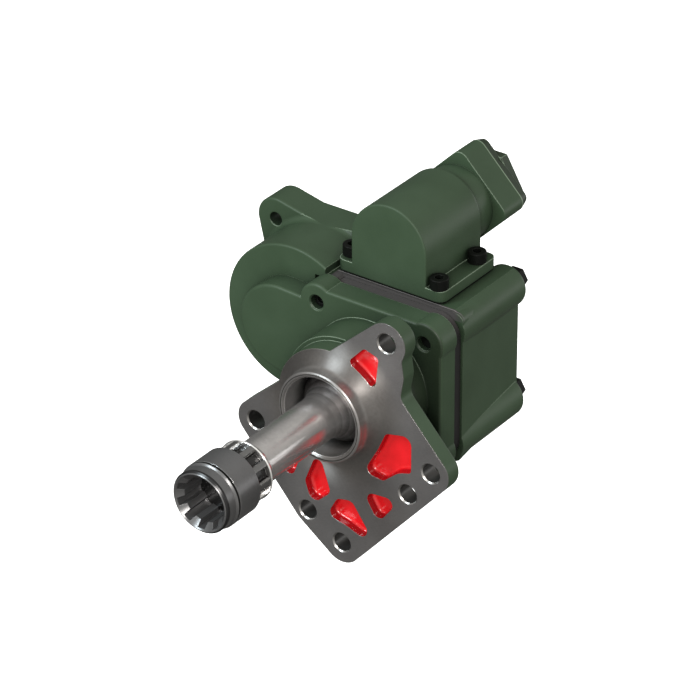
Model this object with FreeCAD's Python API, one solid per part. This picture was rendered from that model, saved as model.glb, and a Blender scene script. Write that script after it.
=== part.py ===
"""Rear power take off unit with a pneumatic shift, for bolting to a truck gearbox.

Millimetres. X to the right and Z up, seen from the gearbox side; Y runs to the rear along the
shafts. The origin is on the input shaft's axis, in the machined face that meets the gearbox.
"""
import FreeCAD, Part
import math
import os

Vector = FreeCAD.Vector
Y_AXIS = Vector(0, 1, 0)

# Fits
FIT = 0.02              # between a piece and its seat
RUN = 0.05              # radial running clearance
SLIDE = 0.3             # clearance of pieces that pass each other
PRINT_GAP = 0.4         # between gear rim and the wall beside it

# Stations along the shaft, measured from the mounting face
FLANGE_T = 13.5
FACE_Y = 44.0           # front face of the box
JOINT_Y = 61.0          # back of the front casting
PLATE_T = 9.0           # intermediate plate with its two gaskets
GASKET_T = 0.5
BOX_Y = JOINT_Y + PLATE_T
BACK_Y = 146.0          # back of the box
PUMP_FACE_Y = 103.0     # front of the pump flange
PUMP_T = 23.0
PUMP_Y = PUMP_FACE_Y + PUMP_T

# Mounting flange
HOLE_R = 6.75
HOLE_CHAMFER = 1.0
HUB_R = 43.9
BOSS_R = 14.9
EDGE_FILLET = 2.0
HOLE_TOP = (44.5, 64.8)
HOLE_RIGHT = (80.3, -22.2)
HOLE_INNER = (61.9, -44.9)
HOLE_TIP = (7.6, -103.3)
HOLE_LOW_LEFT = (-20.8, -87.4)
HOLE_LEFT = (-63.9, -31.3)
FLANGE_HOLES = [HOLE_TOP, HOLE_RIGHT, HOLE_INNER, HOLE_TIP, HOLE_LOW_LEFT, HOLE_LEFT]
POCKET_DEPTH = 7.0
POCKET_FILLET = 2.8
POCKET_HUB_R = 42.0
POCKET_BOSS_R = 15.5

# Pilot collar
COLLAR_R = 33.4
COLLAR_BORE_R = 29.2
COLLAR_BORE_CHAMFER = 1.4
COLLAR_LENGTH = 14.7
COLLAR_FLARE = 10.0
NECK_WALL = 7.0         # round the front bearing

# Gears
MODULE = 3.5
INPUT_TEETH = 23
OUTPUT_TEETH = 22
PRESSURE_ANGLE = math.radians(20)
TOOTH_PLAY = 0.22       # thinning of each tooth, for backlash
GEAR_WIDTH = 22.0
GEAR_Y = 73.0
CENTRE_DISTANCE = MODULE * (INPUT_TEETH + OUTPUT_TEETH) / 2 + 0.05
CENTRE_ANGLE = math.radians(168.6)
OUT_X = CENTRE_DISTANCE * math.cos(CENTRE_ANGLE)
OUT_Z = CENTRE_DISTANCE * math.sin(CENTRE_ANGLE)
INPUT_TIP_R = MODULE * (INPUT_TEETH / 2 + 1)
OUTPUT_TIP_R = MODULE * (OUTPUT_TEETH / 2 + 1)

# Box
BOX_ROOM = 6.25         # between the input gear's teeth and the walls
BOX_WALL = 7.5
BOX_HALF = INPUT_TIP_R + BOX_ROOM + BOX_WALL
BOX_CORNER_R = 15.5
BAND_CORNER_R = 17.6
BOX_BACK_WALL = 8.0
BOX_DRAFT = 6.0         # how far the side walls lean in at the back
FRONT_DRAFT = 1.2
BOLT_INSET = 14.0
BOLT_OFFSET = BOX_HALF - BOLT_INSET
EAR_INSET_X = 13.1
EAR_INSET_Z = 11.1
EAR_BOLT = (EAR_INSET_X - BOX_HALF, BOX_HALF - EAR_INSET_Z)
BOSS_REAR_FILLET = 3.5
EAR_R = 14.0
PLATE_INSET = 1.4

# Output housing
OUT_ROOM = 4.5          # between the output gear's teeth and the bore
OUT_WALL = 9.0
OUT_BORE_R = OUTPUT_TIP_R + OUT_ROOM
OUT_R = OUT_BORE_R + OUT_WALL
OUT_FRONT_WALL = 8.0
PUMP_HOLE_INSET = 10.6
PUMP_PATTERN = 2 * (OUT_R - PUMP_HOLE_INSET)    # between neighbouring holes of a four bolt flange
PUMP_EAR_R = 15.7
EAR_DIP_R = 10.0        # concave run from an ear into the flange's edge
OUT_COVE = 4.5
PUMP_HOLE_R = 5.2       # tapped M12
PUMP_PILOT_WALL = 6.5
PUMP_PILOT_R = OUT_BORE_R - PUMP_PILOT_WALL
PUMP_PILOT_DEPTH = 8.0

# Input shaft and coupling sleeve
SHAFT_R = 16.0
SHAFT_RIM_R = 21.8
SHAFT_RIM_Y = -94.0
SHAFT_RIM_T = 1.6
SPLINE_R = 21.3
SPLINE_ROOT_R = 17.6
SPLINE_TEETH = 10
SPLINE_END_Y = -121.0
DISC_R = 27.2
DISC_Y = 5.0
DISC_T = 4.0
SLEEVE_R = 23.8
SLEEVE_BACK_Y = -109.7
SLEEVE_FRONT_Y = -144.3
SLEEVE_GROOVE_Y = -132.4
SLEEVE_NOSE_R = 22.4
SOCKET_R = 19.5
SOCKET_TOOTH_R = 15.8
SOCKET_LEAD = 5.0       # depth of the cone that leads into the socket
SOCKET_TEETH = 10

# Input shaft bearings and seal
JOURNAL_R = 20.0
BEARING_RING = 20.0     # from the journal to the bearing's outside
BEARING_R = JOURNAL_R + BEARING_RING
BEARING_W = 18.0
NECK_R = BEARING_R + NECK_WALL
SEAL_Y = 9.5
SEAL_T = 8.0
SEAL_R = 31.0
FRONT_BEARING_Y = 19.0
CIRCLIP_T = 2.0
REAR_BEARING_R = 23.5
REAR_BEARING_W = 14.0
REAR_JOURNAL_R = 10.0
REAR_BEARING_Y = 124.5
NEEDLE_IN_R = 22.0
NEEDLE_T = 3.0

# Dog clutch and shift
TRAVEL = 6.0
DOG_TEETH = 12
CLIP_ROOM = 5.0         # for the circlip, between the shaft and the dogs
DOG_WIDTH = 7.0
DOG_IN_R = NEEDLE_IN_R + CLIP_ROOM
DOG_OUT_R = DOG_IN_R + DOG_WIDTH
DOG_H = 5.0
DOG_PLAY = 0.6
DOG_GAP = 1.5           # between the dogs when out of gear
HUB_SPLINE_R = NEEDLE_IN_R - 1.0
HUB_SPLINE_ROOT_R = HUB_SPLINE_R - 2.6
HUB_SPLINE_TEETH = 12
DOG_SLEEVE_T = 14.0
FORK_GROOVE_T = 6.0
FORK_GROOVE_DEPTH = 5.0
FORK_GROOVE_R = DOG_OUT_R - FORK_GROOVE_DEPTH
FORK_T = FORK_GROOVE_T - 2 * SLIDE
FORK_REACH_R = DOG_OUT_R + 2.5
FORK_ROOM_R = FORK_REACH_R + 3 * SLIDE
FORK_ROOM_BACK_Y = REAR_BEARING_Y - 2.0
FORK_ROOM_SIDE = 8.0     # how far the wider room reaches towards the output side

# Output shaft
OUT_FRONT_JOURNAL_R = 12.5
OUT_FRONT_BEARING_R = 26.0
OUT_NOSE_WALL = 6.5
OUT_DISC_R = OUT_FRONT_BEARING_R + OUT_NOSE_WALL
OUT_FRONT_BEARING_W = 12.0
OUT_FRONT_BEARING_Y = 49.0
OUT_JOURNAL_R = 15.0
OUT_BEARING_R = 31.0
OUT_BEARING_W = 16.0
OUT_SEAT_R = 18.0
CARRIER_Y = 96.5
CARRIER_LIP = 3.5
OUT_BEARING_Y = CARRIER_Y + CARRIER_LIP
FORK_ROOM_Y = CARRIER_Y + 1.5
PUMP_RELIEF_R = OUT_BORE_R + 1.5    # scallop that lets the carrier and the pump in beside the box
SOCKET_OUT_R = 11.0
SOCKET_OUT_TOOTH_R = 9.6
SOCKET_OUT_TEETH = 13
SOCKET_OUT_DEPTH = 30.0

# Fasteners
BOLT_R = 5.0
BOLT_CLEAR_R = 5.5
BOLT_HEAD_R = 8.5
BOLT_FLANGE_R = 10.7
BOLT_HEAD_T = 11.0
BOLT_FLANGE_T = 2.5
DOWEL_R = 7.0
DOWEL_SEAT = 4.0
SCREW_R = 4.0
SCREW_HEAD_R = 6.5
SCREW_HEAD_T = 8.0
SCREW_GRIP = 8.0
EAR_SCREW_R = 3.0
EAR_HEAD_R = 5.0
EAR_HEAD_T = 6.0
EAR_SEAT_Y = 55.0

# Pneumatic actuator
ACT_X = -4.5
ACT_SEAT_Z = BOX_HALF + 0.5
ACT_Z = ACT_SEAT_Z + 31.7    # centre of the arched top
AXIS_Z = ACT_SEAT_Z + 29.8   # axis of piston, rod and cap
CYL_R = 22.0
CYL_WALL = 8.5
ACT_R = CYL_R + CYL_WALL
ACT_FRONT_Y = 71.5
ACT_BACK_Y = 139.0
ACT_BASE_X = -3.8
ACT_BASE_HALF = ACT_R + 2 * SCREW_HEAD_R
ACT_BASE_Y = 137.0
ACT_BASE_T = 8.0
ACT_GASKET_T = 2.0
ACT_CORNER_R = 6.0
ACT_BASE_Z = ACT_SEAT_Z + ACT_GASKET_T
ACT_NECK_R = CYL_R + 5.5
ACT_REAR_FILLET = 3.5
ACT_FRONT_FILLET = 1.0
CYL_Y = 117.0
CHAMBER_R = CYL_R - 7.0
CHAMBER_Y = 88.0
GUIDE_Y = 74.5
CAP_Y = 155.5
CAP_BACK_Y = 185.5
CAP_HALF = ACT_NECK_R + 1.2
CAP_CORNER_R = 7.5
CAP_TAPER = 2.2         # how far the rear rim leans in
CAP_TAPER_T = 7.5
HEX_FLATS = 51.0
HEX_T = 6.0
PORT_R = 9.0
PORT_INSERT_R = 12.0
PORT_COLLAR_R = 18.2
PORT_COLLAR_T = 9.0
PORT_GROOVE_T = 1.6
ACT_BOLT_X = ACT_R + SCREW_HEAD_R + 0.4
ACT_BOLT_FRONT_Y = 77.5
ACT_BOLT_LEFT_Y = 82.0   # the front left screw stands further back
ACT_BOLT_BACK_Y = 122.5
PISTON_T = 13.0
PISTON_Y = ACT_BACK_Y - PISTON_T - 1.0
ROD_R = 7.0
FORK_HUB_WALL = 5.0
SLOT_HALF = ROD_R + FORK_HUB_WALL + 0.8    # half width of the opening that the fork reaches through
WIRE_R = 1.3
SPRING_R = 9.0


def at(x, y, z):
    return Vector(x, y, z)


def cyl(r, y0, y1, x=0.0, z=0.0):
    return Part.makeCylinder(r, y1 - y0, at(x, y0, z), Y_AXIS)


def ring(r_out, r_in, y0, y1, x=0.0, z=0.0):
    return cyl(r_out, y0, y1, x, z).cut(cyl(r_in, y0 - 1, y1 + 1, x, z))


def box(x0, x1, y0, y1, z0, z1):
    return Part.makeBox(x1 - x0, y1 - y0, z1 - z0, at(x0, y0, z0))


def fuse(shapes):
    body = shapes[0]
    for other in shapes[1:]:
        body = body.fuse(other)
    return body.removeSplitter()


def turned(points, x=0.0, z=0.0):
    """Solid of revolution about the Y line through (x, z); points are (radius, y)."""
    wire = Part.makePolygon([at(x + r, y, z) for r, y in points + points[:1]])
    return Part.Face(wire).revolve(at(x, 0, z), Y_AXIS, 360)


def belt(circles, y):
    """Closed outline round circles (x, z, r) joined by tangents, counterclockwise.

    A negative radius is passed on its far side, so that the outline dips in there.
    """
    runs = []
    for a, b in zip(circles, circles[1:] + circles[:1]):
        dx, dz = b[0] - a[0], b[1] - a[1]
        turn = math.asin((b[2] - a[2]) / math.hypot(dx, dz))
        course = math.atan2(dz, dx) - turn
        nx, nz = -math.sin(course), math.cos(course)
        runs.append((at(a[0] - a[2] * nx, y, a[1] - a[2] * nz), at(b[0] - b[2] * nx, y, b[1] - b[2] * nz)))
    edges = []
    for i, (start, end) in enumerate(runs):
        if start.distanceToPoint(end) > 1e-6:
            edges.append(Part.LineSegment(start, end).toShape())
        x, z, r = circles[(i + 1) % len(circles)]
        leave = runs[(i + 1) % len(runs)][0]
        a0 = math.atan2(end.z - z, end.x - x)
        a1 = math.atan2(leave.z - z, leave.x - x)
        sweep = (a1 - a0) % (2 * math.pi) if r > 0 else -((a0 - a1) % (2 * math.pi))
        middle = a0 + sweep / 2
        through = at(x + abs(r) * math.cos(middle), y, z + abs(r) * math.sin(middle))
        edges.append(Part.Arc(end, through, leave).toShape())
    return Part.Wire(edges)


def prism(circles, y0, y1):
    return Part.Face(belt(circles, y0)).extrude(at(0, y1 - y0, 0))


def edges_at(shape, y):
    return [e for e in shape.Edges if all(abs(v.Point.y - y) < 1e-4 for v in e.Vertexes)
            and abs(e.BoundBox.YMax - e.BoundBox.YMin) < 1e-3]


def soften(shape, y, r):
    """Rounds every edge of a plain prism that lies in the plane y."""
    return shape.makeFillet(r, edges_at(shape, y))


def moved(shape, x=0.0, y=0.0, z=0.0):
    copy = shape.copy()
    copy.translate(at(x, y, z))
    return copy


def turned_by(shape, angle, x=0.0, z=0.0):
    """Turned about the Y line through (x, z), counterclockwise as seen from the front."""
    copy = shape.copy()
    copy.rotate(at(x, 0, z), Y_AXIS, -angle)
    return copy


def chamfered_hole(x, z, r, y0, y1, chamfer=HOLE_CHAMFER):
    """Tool for a through hole with a chamfer at its front mouth."""
    mouth = turned([(0, y0 - 1), (r + chamfer + 1, y0 - 1), (r, y0 + chamfer), (0, y0 + chamfer)], x, z)
    return mouth.fuse(cyl(r, y0 - 1, y1 + 1, x, z))


def square_circles(half, r, x=0.0, z=0.0):
    inner = half - r
    return [(x + sx * inner, z + sz * inner, r) for sx, sz in ((1, -1), (1, 1), (-1, 1), (-1, -1))]


def polar(r, angle, y):
    return at(r * math.cos(angle), y, r * math.sin(angle))


def involute_angle(r, base_r):
    slope = math.acos(base_r / r)
    return math.tan(slope) - slope


def gear_blank(teeth, y0, y1):
    """Spur gear about the Y axis with true involute flanks; a tooth points along +X."""
    pitch_r = MODULE * teeth / 2
    base_r = pitch_r * math.cos(PRESSURE_ANGLE)
    tip_r = pitch_r + MODULE
    root_r = pitch_r - 1.25 * MODULE
    low_r = max(base_r, root_r) + 0.05
    half_pitch = (math.pi * MODULE / 2 - TOOTH_PLAY) / (2 * pitch_r)

    def half_angle(r):
        return half_pitch + involute_angle(pitch_r, base_r) - involute_angle(r, base_r)

    edges = []
    step = 2 * math.pi / teeth
    for i in range(teeth):
        axis = i * step
        low, high = half_angle(low_r), half_angle(tip_r)
        mid_r = (low_r + tip_r) / 2
        mid = half_angle(mid_r)
        root_in = polar(root_r, axis - low, y0)
        flank_in = [polar(low_r, axis - low, y0), polar(mid_r, axis - mid, y0), polar(tip_r, axis - high, y0)]
        flank_out = [polar(tip_r, axis + high, y0), polar(mid_r, axis + mid, y0), polar(low_r, axis + low, y0)]
        root_out = polar(root_r, axis + low, y0)
        next_root = polar(root_r, axis + step - low, y0)
        edges.append(Part.LineSegment(root_in, flank_in[0]).toShape())
        edges.append(Part.Arc(*flank_in).toShape())
        edges.append(Part.Arc(flank_in[2], polar(tip_r, axis, y0), flank_out[0]).toShape())
        edges.append(Part.Arc(*flank_out).toShape())
        edges.append(Part.LineSegment(flank_out[2], root_out).toShape())
        edges.append(Part.Arc(root_out, polar(root_r, axis + step / 2, y0), next_root).toShape())
    return Part.Face(Part.Wire(edges)).extrude(at(0, y1 - y0, 0))


def splined(teeth, r_root, r_tip, y0, y1, share=0.5, taper=0.75, phase=0.0):
    """Straight sided splines about the Y axis; share is the tooth's part of the pitch at its root."""
    edges = []
    step = 2 * math.pi / teeth
    root_half = share * step / 2
    tip_half = root_half * taper * r_root / r_tip
    for i in range(teeth):
        axis = (i + phase) * step
        a, b = polar(r_root, axis - root_half, y0), polar(r_tip, axis - tip_half, y0)
        c, d = polar(r_tip, axis + tip_half, y0), polar(r_root, axis + root_half, y0)
        e = polar(r_root, axis + step - root_half, y0)
        edges.append(Part.LineSegment(a, b).toShape())
        edges.append(Part.Arc(b, polar(r_tip, axis, y0), c).toShape())
        edges.append(Part.LineSegment(c, d).toShape())
        edges.append(Part.Arc(d, polar(r_root, axis + step / 2, y0), e).toShape())
    return Part.Face(Part.Wire(edges)).extrude(at(0, y1 - y0, 0))


def face_dogs(y0, y1, phase):
    """Ring of face teeth of a dog clutch."""
    step = 360.0 / DOG_TEETH
    play = math.degrees(DOG_PLAY / DOG_OUT_R)
    sector = Part.makeCylinder(DOG_OUT_R, y1 - y0, at(0, y0, 0), Y_AXIS, step / 2 - play)
    sector = sector.cut(cyl(DOG_IN_R, y0 - 1, y1 + 1))
    teeth = [turned_by(sector, (i + phase) * step + play) for i in range(DOG_TEETH)]
    return teeth


def ball_bearing(r_bore, r_out, width, y, x=0.0, z=0.0, balls=9):
    """Returns outer race, balls and inner race of a deep groove bearing."""
    mid = (r_bore + r_out) / 2
    ball_r = (r_out - r_bore) * 0.29
    land = (r_out - r_bore) * 0.19
    centre_y = y + width / 2
    groove = Part.makeTorus(mid, ball_r + RUN, at(x, centre_y, z), Y_AXIS)
    outer = ring(r_out - FIT, mid + land, y, y + width, x, z).cut(groove)
    inner = ring(mid - land, r_bore + FIT, y, y + width, x, z).cut(groove)
    spheres = []
    for i in range(balls):
        angle = 2 * math.pi * i / balls
        centre = at(x + mid * math.cos(angle), centre_y, z + mid * math.sin(angle))
        spheres.append(Part.makeSphere(ball_r, centre, Y_AXIS))
    return outer, Part.makeCompound(spheres), inner


def corner_bolts():
    """Through bolts; the fourth corner is the ear, whose screw only reaches the plate."""
    o = BOLT_OFFSET
    return [(o, o), (o, -o), (-o, -o)]


def flange_outline():
    top, right, tip, left = HOLE_TOP, HOLE_RIGHT, HOLE_TIP, HOLE_LEFT
    low = HOLE_LOW_LEFT
    return [
        (tip[0], tip[1], BOSS_R + 0.5),
        (right[0], right[1], BOSS_R - 0.6),
        (64.0, 29.0, -8.0),
        (50.8, 42.6, 7.4),
        (top[0] + 19.2, top[1] - 10.9, -7.0),
        (top[0], top[1], BOSS_R),
        (left[0], left[1], BOSS_R),
        (low[0], low[1], BOSS_R - 3.7),
    ]


def pocket_outlines():
    """Recesses of the mounting face, each kept clear of the hub, the bolt bosses and the rim."""
    hub = (0.0, 0.0, -POCKET_HUB_R)
    tip_boss = (HOLE_TIP[0], HOLE_TIP[1], -POCKET_BOSS_R)
    left_boss = (HOLE_LEFT[0], HOLE_LEFT[1], -POCKET_BOSS_R)
    inner_boss = (HOLE_INNER[0], HOLE_INNER[1], -POCKET_BOSS_R)
    return [
        [(32.6, 31.9, 3.4), (34.8, 49.2, 3.3), (27.6, 51.3, 3.5), (18.9, 41.7, 3.6), hub],
        [(58.6, -7.1, 6.2), (47.8, -8.4, 5.2), hub, (34.2, -35.4, 5.2), (40.4, -36.4, 5.0), inner_boss,
         (61.6, -25.4, 3.1)],
        [(-12.0, -48.6, 4.5), (-17.2, -64.6, 5.4), (-14.6, -71.2, 5.8), (-8.0, -65.0, 5.8)],
        [(13.6, -73.2, 5.8), (7.8, -74.4, 5.8), (3.4, -81.2, 5.2), tip_boss, (23.2, -86.6, 5.6)],
        [(44.4, -59.0, 5.2), (34.2, -60.0, 5.3), (38.4, -66.8, 5.3)],
        [(-36.2, -58.6, 5.0), (-30.0, -43.6, 4.4), (-43.2, -26.2, 4.0), left_boss, (-47.4, -43.8, 4.4)],
    ]


def mounting_collar():
    """Pilot collar and its flare into the face, turned."""
    flare = COLLAR_FLARE
    root = -flare
    start = at(COLLAR_R, root, 0)
    turn = math.sqrt(0.5)
    through = at(COLLAR_R + flare * (1 - turn), root + flare * turn, 0)
    end = at(COLLAR_R + flare, 0, 0)
    rim, chamfer = -COLLAR_LENGTH, COLLAR_BORE_CHAMFER
    edges = [
        Part.LineSegment(at(COLLAR_BORE_R + chamfer, rim, 0), at(COLLAR_R - 0.8, rim, 0)),
        Part.LineSegment(at(COLLAR_R - 0.8, rim, 0), at(COLLAR_R, rim + 0.8, 0)),
        Part.LineSegment(at(COLLAR_R, rim + 0.8, 0), start),
        Part.Arc(start, through, end),
        Part.LineSegment(end, at(COLLAR_R + flare, 2, 0)),
        Part.LineSegment(at(COLLAR_R + flare, 2, 0), at(COLLAR_BORE_R, 2, 0)),
        Part.LineSegment(at(COLLAR_BORE_R, 2, 0), at(COLLAR_BORE_R, rim + chamfer, 0)),
        Part.LineSegment(at(COLLAR_BORE_R, rim + chamfer, 0), at(COLLAR_BORE_R + chamfer, rim, 0)),
    ]
    return Part.Face(Part.Wire([e.toShape() for e in edges])).revolve(at(0, 0, 0), Y_AXIS, 360)


def mounting_housing():
    """Front casting: mounting flange, pilot collar, neck, box front and output bearing nose."""
    plate = soften(prism(flange_outline(), 0, FLANGE_T), FLANGE_T, EDGE_FILLET)
    hub = cyl(HUB_R, 0, FLANGE_T)
    neck = cyl(NECK_R, FLANGE_T, FACE_Y + 2)
    front = soften(prism(square_circles(BOX_HALF, BOX_CORNER_R), FACE_Y, JOINT_Y), FACE_Y, EDGE_FILLET)
    bosses = [soften(cyl(BOX_CORNER_R, FACE_Y, JOINT_Y, x, z), FACE_Y, EDGE_FILLET)
              for x, z in corner_bolts()]
    ear = soften(cyl(EAR_R, FACE_Y, JOINT_Y, *EAR_BOLT), FACE_Y, EDGE_FILLET)
    inner_r = OUT_DISC_R - 6.0
    nose_outline = [(OUT_X, OUT_Z, OUT_DISC_R), (-20.0, -8.0, inner_r), (-20.0, 18.0, inner_r)]
    nose = soften(prism(nose_outline, FACE_Y, JOINT_Y), FACE_Y, EDGE_FILLET)
    body = fuse([plate, hub, mounting_collar(), neck, front, nose, ear] + bosses)
    for circles in pocket_outlines():
        tool = soften(prism(circles, -1, POCKET_DEPTH), POCKET_DEPTH, POCKET_FILLET)
        body = body.cut(tool)
    for x, z in FLANGE_HOLES:
        body = body.cut(chamfered_hole(x, z, HOLE_R, 0, FLANGE_T))
    bores = [
        cyl(COLLAR_BORE_R, -COLLAR_LENGTH - 1, SEAL_Y + 1),
        cyl(SEAL_R, SEAL_Y, FRONT_BEARING_Y + 1),
        cyl(BEARING_R, FRONT_BEARING_Y, JOINT_Y + 1),
        ring(BEARING_R + 2.0, BEARING_R - 1, circlip_y(), circlip_y() + CIRCLIP_T),
        cyl(OUT_FRONT_BEARING_R, OUT_FRONT_BEARING_Y, JOINT_Y + 1, OUT_X, OUT_Z),
        cyl(OUT_FRONT_BEARING_R - 6, OUT_FRONT_BEARING_Y - 2.5, JOINT_Y + 1, OUT_X, OUT_Z),
    ]
    for x, z in corner_bolts():
        bores.append(chamfered_hole(x, z, BOLT_R + FIT, FACE_Y, JOINT_Y))
    bores.append(chamfered_hole(EAR_BOLT[0], EAR_BOLT[1], EAR_HEAD_R + 0.2, FACE_Y, EAR_SEAT_Y - 1))
    bores.append(cyl(EAR_SCREW_R + SLIDE, FACE_Y, JOINT_Y + 1, *EAR_BOLT))
    for x, z in dowels():
        bores.append(cyl(DOWEL_R, JOINT_Y - DOWEL_SEAT, JOINT_Y + 1, x, z))
    for tool in bores:
        body = body.cut(tool)
    return body


def dowels():
    """Hollow dowels sit round two of the through bolts."""
    return [corner_bolts()[0], corner_bolts()[2]]


def circlip_y():
    return FRONT_BEARING_Y + BEARING_W


def inner_half():
    return BOX_HALF - BOX_WALL


def cavity_outline(half):
    """Inside of the box, with its corners left solid round the through bolts."""
    notch = BOLT_OFFSET
    clear = BOLT_CLEAR_R + 5.0
    outline = []
    for sx, sz in ((1, -1), (1, 1), (-1, 1), (-1, -1)):
        first = (half - 3.0, notch - clear - 3.0) if sx * sz < 0 else (notch - clear - 3.0, half - 3.0)
        second = (notch - clear - 3.0, half - 3.0) if sx * sz < 0 else (half - 3.0, notch - clear - 3.0)
        if sx * sz < 0:
            first, second = second, first
            outline.append((sx * first[0], sz * first[1], 3.0))
            outline.append((sx * notch, sz * notch, -clear))
            outline.append((sx * second[0], sz * second[1], 3.0))
        else:
            first, second = second, first
            outline.append((sx * first[0], sz * first[1], 3.0))
            outline.append((sx * notch, sz * notch, -clear))
            outline.append((sx * second[0], sz * second[1], 3.0))
    return outline


def intermediate_plate():
    """Black spacer plate between the two castings."""
    y0, y1 = JOINT_Y + GASKET_T, BOX_Y - GASKET_T
    return joint_ring(y0, y1, PLATE_INSET)


def joint_ring(y0, y1, inset):
    body = prism(square_circles(BOX_HALF - inset, BAND_CORNER_R - inset), y0, y1)
    body = body.cut(prism(cavity_outline(inner_half()), y0 - 1, y1 + 1))
    body = body.cut(cyl(EAR_SCREW_R + FIT, y0 - 1, y1 + 1, *EAR_BOLT))
    for x, z in corner_bolts():
        body = body.cut(cyl(BOLT_CLEAR_R, y0 - 1, y1 + 1, x, z))
    for x, z in dowels():
        body = body.cut(cyl(DOWEL_R, y0 - 1, y1 + 1, x, z))
    return body


def pump_holes():
    """The two bolt holes of the pump flange that lie clear of the box."""
    half = PUMP_PATTERN / 2
    return [(OUT_X - half, OUT_Z + half), (OUT_X - half, OUT_Z - half)]


def pump_flange_outline():
    """Square with an ear round each of its two outer holes."""
    (x1, z1), (x2, z2) = pump_holes()
    corner = (OUT_X + OUT_R - 12.0, OUT_Z, 12.0)
    top, bottom = OUT_Z + OUT_R - 12.0, OUT_Z - OUT_R + 12.0
    dip = EAR_DIP_R
    return [
        (corner[0], bottom, 12.0), (corner[0], top, 12.0),
        (x1 + PUMP_EAR_R + 10.0, OUT_Z + OUT_R + dip, -dip), (x1, z1, PUMP_EAR_R),
        (OUT_X - OUT_R - dip, z1 - PUMP_EAR_R - 10.0, -dip),
        (OUT_X - OUT_R - dip, z2 + PUMP_EAR_R + 10.0, -dip), (x2, z2, PUMP_EAR_R),
        (x2 + PUMP_EAR_R + 10.0, OUT_Z - OUT_R - dip, -dip)]


def pump_flange():
    """Pump flange with two bolt ears, and the cove that leads the round housing into it."""
    outline = pump_flange_outline()
    plate = soften(prism(outline, PUMP_FACE_Y, PUMP_Y), PUMP_FACE_Y, 1.5)
    r, y, c = OUT_R, PUMP_FACE_Y, OUT_COVE
    turn = math.sqrt(0.5)
    arc = Part.Arc(at(r, y - c, 0), at(r + c * (1 - turn), y - c * (1 - turn), 0), at(r + c, y, 0)).toShape()
    rest = Part.makePolygon([at(r + c, y, 0), at(r + c, y + 2, 0), at(r - 2, y + 2, 0), at(r - 2, y - c, 0),
                             at(r, y - c, 0)])
    cove = Part.Face(Part.Wire([arc] + rest.Edges)).revolve(at(0, 0, 0), Y_AXIS, 360)
    inside = prism(outline, y - c - 1, y + 3)
    return fuse([plate, moved(cove, OUT_X, 0, OUT_Z).common(inside)])


def box_shell():
    """Outer form of the box: drafted walls between straight corner bosses, and the actuator's seat."""
    front = Part.Wire(belt(square_circles(BOX_HALF, 6.0), BOX_Y).Edges)
    back = Part.Wire(belt(square_circles(BOX_HALF - BOX_DRAFT, 6.0), BACK_Y).Edges)
    walls = Part.makeLoft([front, back], True)
    bosses = [soften(cyl(BOX_CORNER_R, BOX_Y, BACK_Y, x, z), BACK_Y, BOSS_REAR_FILLET)
              for x, z in corner_bolts()]
    bosses.append(cyl(BOX_CORNER_R, BOX_Y, PUMP_FACE_Y, *EAR_BOLT))
    x0, x1 = ACT_BASE_X - ACT_BASE_HALF, ACT_BASE_X + ACT_BASE_HALF
    seat = box(x0, x1, BOX_Y, ACT_BASE_Y, ACT_SEAT_Z - 12, ACT_SEAT_Z)
    return fuse([walls, seat] + bosses)


def gear_housing():
    """Rear casting: box, output housing and pump flange."""
    output = cyl(OUT_R, JOINT_Y, PUMP_FACE_Y + 1, OUT_X, OUT_Z)
    output = soften(output, JOINT_Y, 1.5)
    top = BOX_HALF - PLATE_INSET + SLIDE
    output = output.cut(box(-BOX_HALF - SLIDE, BOX_HALF, JOINT_Y - 1, BOX_Y, OUT_Z - OUT_R - 1, top))
    body = fuse([box_shell(), output, pump_flange()])
    body = body.cut(box(ACT_BASE_X - ACT_BASE_HALF - 2, BOX_HALF, JOINT_Y - 3, BACK_Y + 1, ACT_SEAT_Z, ACT_Z))
    tools = [
        prism(cavity_outline(inner_half()), BOX_Y - 1, FORK_ROOM_Y),
        prism(cavity_outline(inner_half() - 3.5), FORK_ROOM_Y - 1, FORK_ROOM_BACK_Y).common(
            box(-FORK_ROOM_SIDE, BOX_HALF, FORK_ROOM_Y - 1, FORK_ROOM_BACK_Y, -BOX_HALF, BOX_HALF)),
        cyl(FORK_ROOM_R, FORK_ROOM_Y - 1, FORK_ROOM_BACK_Y),
        cyl(REAR_BEARING_R, FORK_ROOM_BACK_Y - 1, REAR_BEARING_Y + REAR_BEARING_W),
        cyl(OUT_BORE_R, JOINT_Y + OUT_FRONT_WALL, PUMP_Y + 1, OUT_X, OUT_Z),
        cyl(OUT_FRONT_BEARING_R - 6, JOINT_Y - 1, JOINT_Y + OUT_FRONT_WALL + 1, OUT_X, OUT_Z),
        cyl(PUMP_RELIEF_R, PUMP_Y, BACK_Y + 1, OUT_X, OUT_Z),
        fork_opening(ACT_SEAT_Z - 32, ACT_SEAT_Z + 1),
    ]
    for tool in tools:
        body = body.cut(tool)
    for x, z in corner_bolts():
        body = body.cut(cyl(BOLT_CLEAR_R, BOX_Y - 1, BACK_Y + 1, x, z))
    for x, z in dowels():
        body = body.cut(cyl(DOWEL_R, BOX_Y - 1, BOX_Y + DOWEL_SEAT, x, z))
    for x, z in pump_holes():
        body = body.cut(cyl(PUMP_HOLE_R, PUMP_FACE_Y - 1, PUMP_Y + 1, x, z))
    for x, y in actuator_bolts():
        hole_end = at(x, y, ACT_SEAT_Z - SCREW_GRIP + 0.5)
        body = body.cut(Part.makeCylinder(SCREW_R + FIT, SCREW_GRIP + 1, hole_end))
    return body


def fork_opening(z0, z1):
    """Opening that the shift fork reaches down through."""
    return box(ACT_X - SLOT_HALF, ACT_X + SLOT_HALF, fork_y() - TRAVEL - 3, fork_y() + FORK_T + 3, z0, z1)


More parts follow.
